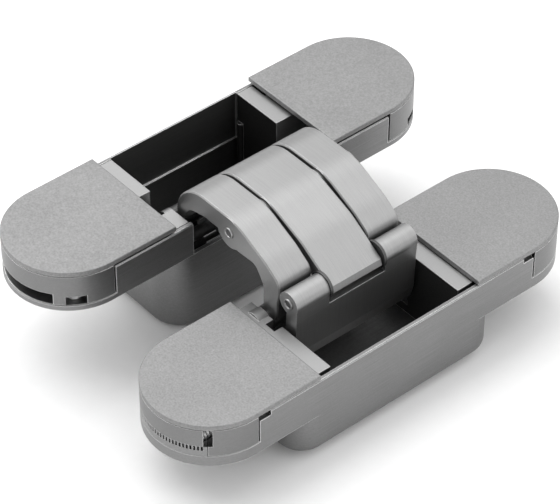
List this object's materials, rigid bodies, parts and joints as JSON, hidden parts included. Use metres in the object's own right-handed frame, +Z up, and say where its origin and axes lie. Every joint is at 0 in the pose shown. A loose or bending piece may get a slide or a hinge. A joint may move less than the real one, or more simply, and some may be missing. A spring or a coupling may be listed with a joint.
{
  "type": "concealed invisible door hinge",
  "caption": "Concealed door hinge opened flat: mortised cups with capped round wings, joined by crossing arms that fold inside, with adjusting screws.",
  "frame": {"origin": "on the resting plane, midway between the two housings", "axes": "+X from the door housing to the frame housing, +Y along both housings from near wings to far wings, +Z up, out of the faces"},
  "size_m": [0.0784, 0.111, 0.0401],
  "materials": {
    "satin_zinc": "satin nickel over die cast zinc",
    "matte_cap": "fine matte silver",
    "satin_arm": "satin",
    "pin_steel": "ground",
    "bright_screw": "bright zinc plated",
    "dark_carrier": "satin nickel over die cast zinc"
  },
  "bodies": {
    "door_housing": {"door_housing": "satin_zinc"},
    "door_insert": {"door_carrier": "dark_carrier", "door_block_near": "satin_zinc", "door_block_far": "satin_zinc", "door_cap_near": "matte_cap", "door_cap_far": "matte_cap", "door_fixed_pin": "pin_steel", "door_link_lower_pin": "pin_steel"},
    "door_screw_near": {"door_screw_near": "bright_screw"},
    "door_screw_far": {"door_screw_far": "bright_screw"},
    "centre_arm": {"centre_arm": "satin_arm"},
    "outer_arm": {"outer_arm_near": "satin_arm", "outer_arm_far": "satin_arm", "common_pin": "pin_steel", "crossing_washers": "pin_steel", "door_link_upper_pin": "pin_steel"},
    "door_link": {"door_link": "satin_arm"},
    "frame_link": {"frame_link": "satin_arm", "frame_link_upper_pin": "pin_steel", "link_washers": "pin_steel"},
    "frame_insert": {"frame_carrier": "dark_carrier", "frame_fixed_pin": "pin_steel", "frame_link_lower_pin": "pin_steel"},
    "frame_shell": {"frame_housing": "satin_zinc", "frame_block_near": "satin_zinc", "frame_block_far": "satin_zinc", "frame_cap_near": "matte_cap", "frame_cap_far": "matte_cap", "frame_teeth_near": "satin_zinc", "frame_teeth_far": "satin_zinc"},
    "frame_screw_near": {"frame_screw_near": "bright_screw"},
    "frame_screw_far": {"frame_screw_far": "bright_screw"}
  },
  "joints": [
    {"name": "door_insert_lift", "type": "slide", "parent": "door_housing", "child": "door_insert", "axis": [0, 0, 1], "range_m": [-0.0001, 0.0014]},
    {"name": "door_screw_near_turn", "type": "hinge", "parent": "door_housing", "child": "door_screw_near", "pos_m": [-0.015, -0.0467, 0.027], "axis": [0, 0, 1], "range_deg": [-38, 506]},
    {"name": "door_screw_far_turn", "type": "hinge", "parent": "door_housing", "child": "door_screw_far", "pos_m": [-0.015, 0.0467, 0.027], "axis": [0, 0, 1], "range_deg": [-38, 506]},
    {"name": "fold", "type": "hinge", "parent": "door_insert", "child": "centre_arm", "pos_m": [-0.0141, 0, 0.0225], "axis": [0, -1, 0], "range_deg": [0, 112.09]},
    {"name": "arms_cross", "type": "hinge", "parent": "centre_arm", "child": "outer_arm", "pos_m": [0.0024, 0, 0.0359], "axis": [0, -1, 0], "range_deg": [-33.02, 0.5]},
    {"name": "frame_turn", "type": "hinge", "parent": "outer_arm", "child": "frame_insert", "pos_m": [0.015, 0, 0.0202], "axis": [0, -1, 0], "range_deg": [-0.5, 100.93]},
    {"name": "door_link_turn", "type": "hinge", "parent": "outer_arm", "child": "door_link", "pos_m": [-0.02, 0, 0.0235], "axis": [0, -1, 0], "range_deg": [-0.5, 33.15]},
    {"name": "frame_link_turn", "type": "hinge", "parent": "centre_arm", "child": "frame_link", "pos_m": [0.0222, 0, 0.0291], "axis": [0, -1, 0], "range_deg": [-33.14, 0.5]},
    {"name": "frame_shell_shift", "type": "slide", "parent": "frame_insert", "child": "frame_shell", "axis": [0, 1, 0], "range_m": [-0.0015, 0.0015]},
    {"name": "frame_screw_near_turn", "type": "hinge", "parent": "frame_shell", "child": "frame_screw_near", "pos_m": [0.0317, -0.035, 0.0188], "axis": [0, 1, 0], "range_deg": [-677, 677]},
    {"name": "frame_screw_far_turn", "type": "hinge", "parent": "frame_shell", "child": "frame_screw_far", "pos_m": [0.0317, 0.035, 0.0188], "axis": [0, 1, 0], "range_deg": [-677, 677]}
  ],
  "couplings": [
    {"joint": "arms_cross", "follows": "fold", "ratio": -0.2901},
    {"joint": "frame_turn", "follows": "fold", "ratio": 0.89596},
    {"joint": "door_link_turn", "follows": "fold", "ratio": 0.29128},
    {"joint": "frame_link_turn", "follows": "fold", "ratio": -0.29121},
    {"joint": "door_screw_near_turn", "follows": "door_insert_lift", "rad_per_m": 6283.2},
    {"joint": "door_screw_far_turn", "follows": "door_insert_lift", "rad_per_m": 6283.2},
    {"joint": "frame_screw_near_turn", "follows": "frame_shell_shift", "rad_per_m": 7854},
    {"joint": "frame_screw_far_turn", "follows": "frame_shell_shift", "rad_per_m": 7854}
  ]
}
